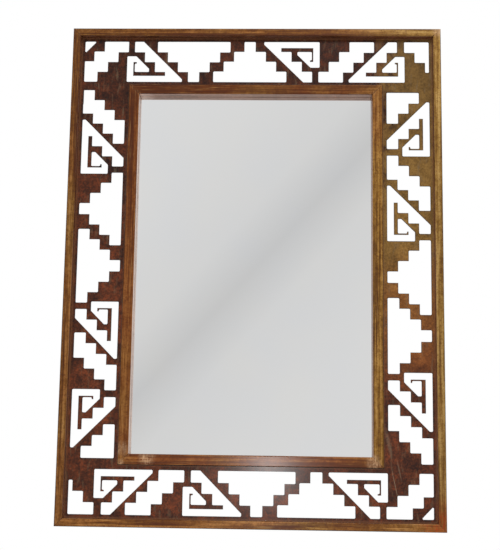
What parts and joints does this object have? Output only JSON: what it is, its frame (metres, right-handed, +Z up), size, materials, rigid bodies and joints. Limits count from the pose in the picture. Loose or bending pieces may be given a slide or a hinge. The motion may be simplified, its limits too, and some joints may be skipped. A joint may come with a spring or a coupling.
{
  "type": "wall mirror",
  "caption": "Tall rectangular wall mirror in a welded rust-brown iron frame, with a border of sheet metal pierced in a traditional stepped fret between two mitred tube frames.",
  "frame": {"origin": "midway between the two hanging holes, on the plane of the wall", "axes": "+X to the right of someone who looks at the mirror, +Y from the mirror into the wall, +Z up"},
  "size_m": [0.914, 0.038, 1.219],
  "materials": {
    "outer_frame_iron": "rusted and clear lacquered, satin",
    "inner_frame_iron": "rusted and clear lacquered, satin",
    "fret_sheet_iron": "rusted and clear lacquered, satin",
    "bracket_iron": "rusted and clear lacquered, satin",
    "silvered_glass": "silvered behind",
    "hardboard": "pressed fibre",
    "plated_steel": "zinc plated",
    "bumper_rubber": "matt"
  },
  "bodies": {
    "mirror_frame": {"outer_rail_top": "outer_frame_iron", "outer_rail_right": "outer_frame_iron", "outer_rail_bottom": "outer_frame_iron", "outer_rail_left": "outer_frame_iron", "inner_rail_top": "inner_frame_iron", "inner_rail_right": "inner_frame_iron", "inner_rail_bottom": "inner_frame_iron", "inner_rail_left": "inner_frame_iron", "fret_panel": "fret_sheet_iron", "mirror_glass": "silvered_glass", "backing_board": "hardboard", "glass_ledge_left": "bracket_iron", "glass_ledge_right": "bracket_iron", "button_spacers": "plated_steel", "button_screws": "plated_steel", "hanger_bracket_left": "bracket_iron", "hanger_bracket_right": "bracket_iron", "wall_bumper_left": "bumper_rubber", "wall_bumper_right": "bumper_rubber", "bumper_screws": "plated_steel"},
    "turn_button_1": {"turn_button_1": "plated_steel"},
    "turn_button_2": {"turn_button_2": "plated_steel"},
    "turn_button_3": {"turn_button_3": "plated_steel"},
    "turn_button_4": {"turn_button_4": "plated_steel"},
    "turn_button_5": {"turn_button_5": "plated_steel"},
    "turn_button_6": {"turn_button_6": "plated_steel"}
  },
  "joints": [
    {"name": "turn_button_1_pivot", "type": "hinge", "parent": "mirror_frame", "child": "turn_button_1", "pos_m": [0, -0.0054, 0.0142], "axis": [0, 1, 0], "continuous": true},
    {"name": "turn_button_2_pivot", "type": "hinge", "parent": "mirror_frame", "child": "turn_button_2", "pos_m": [0.3062, -0.0054, -0.2025], "axis": [0, 1, 0], "continuous": true},
    {"name": "turn_button_3_pivot", "type": "hinge", "parent": "mirror_frame", "child": "turn_button_3", "pos_m": [0.3062, -0.0054, -0.6865], "axis": [0, 1, 0], "continuous": true},
    {"name": "turn_button_4_pivot", "type": "hinge", "parent": "mirror_frame", "child": "turn_button_4", "pos_m": [0, -0.0054, -0.9032], "axis": [0, 1, 0], "continuous": true},
    {"name": "turn_button_5_pivot", "type": "hinge", "parent": "mirror_frame", "child": "turn_button_5", "pos_m": [-0.3062, -0.0054, -0.6865], "axis": [0, 1, 0], "continuous": true},
    {"name": "turn_button_6_pivot", "type": "hinge", "parent": "mirror_frame", "child": "turn_button_6", "pos_m": [-0.3062, -0.0054, -0.2025], "axis": [0, 1, 0], "continuous": true}
  ]
}
